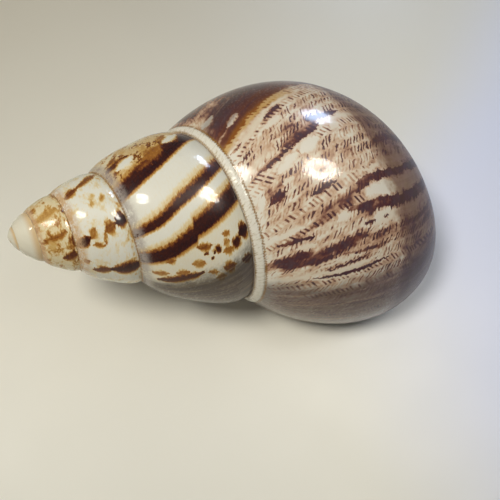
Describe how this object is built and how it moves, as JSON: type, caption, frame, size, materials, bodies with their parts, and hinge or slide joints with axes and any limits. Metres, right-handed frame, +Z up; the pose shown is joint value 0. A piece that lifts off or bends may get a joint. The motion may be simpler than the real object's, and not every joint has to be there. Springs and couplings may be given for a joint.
{
  "type": "giant african land snail shell",
  "caption": "Glossy right-handed spiral land snail shell with a blunt spire, a wide body whorl and a hollow inside, lying on its aperture.",
  "frame": {"origin": "centre of the bounding box at the table, under the shell as it lies on its aperture", "axes": "+Z up, +X away from the apex along the shell's length, +Y across it, away from the side that the outer lip is on"},
  "size_m": [0.1154, 0.0716, 0.0583],
  "materials": {
    "shell": "glossy aragonite shell, cream ground with dark brown flames, purple-brown speckled body whorl and a white band under the suture"
  },
  "bodies": {
    "root": {"shell": "shell"}
  },
  "joints": []
}
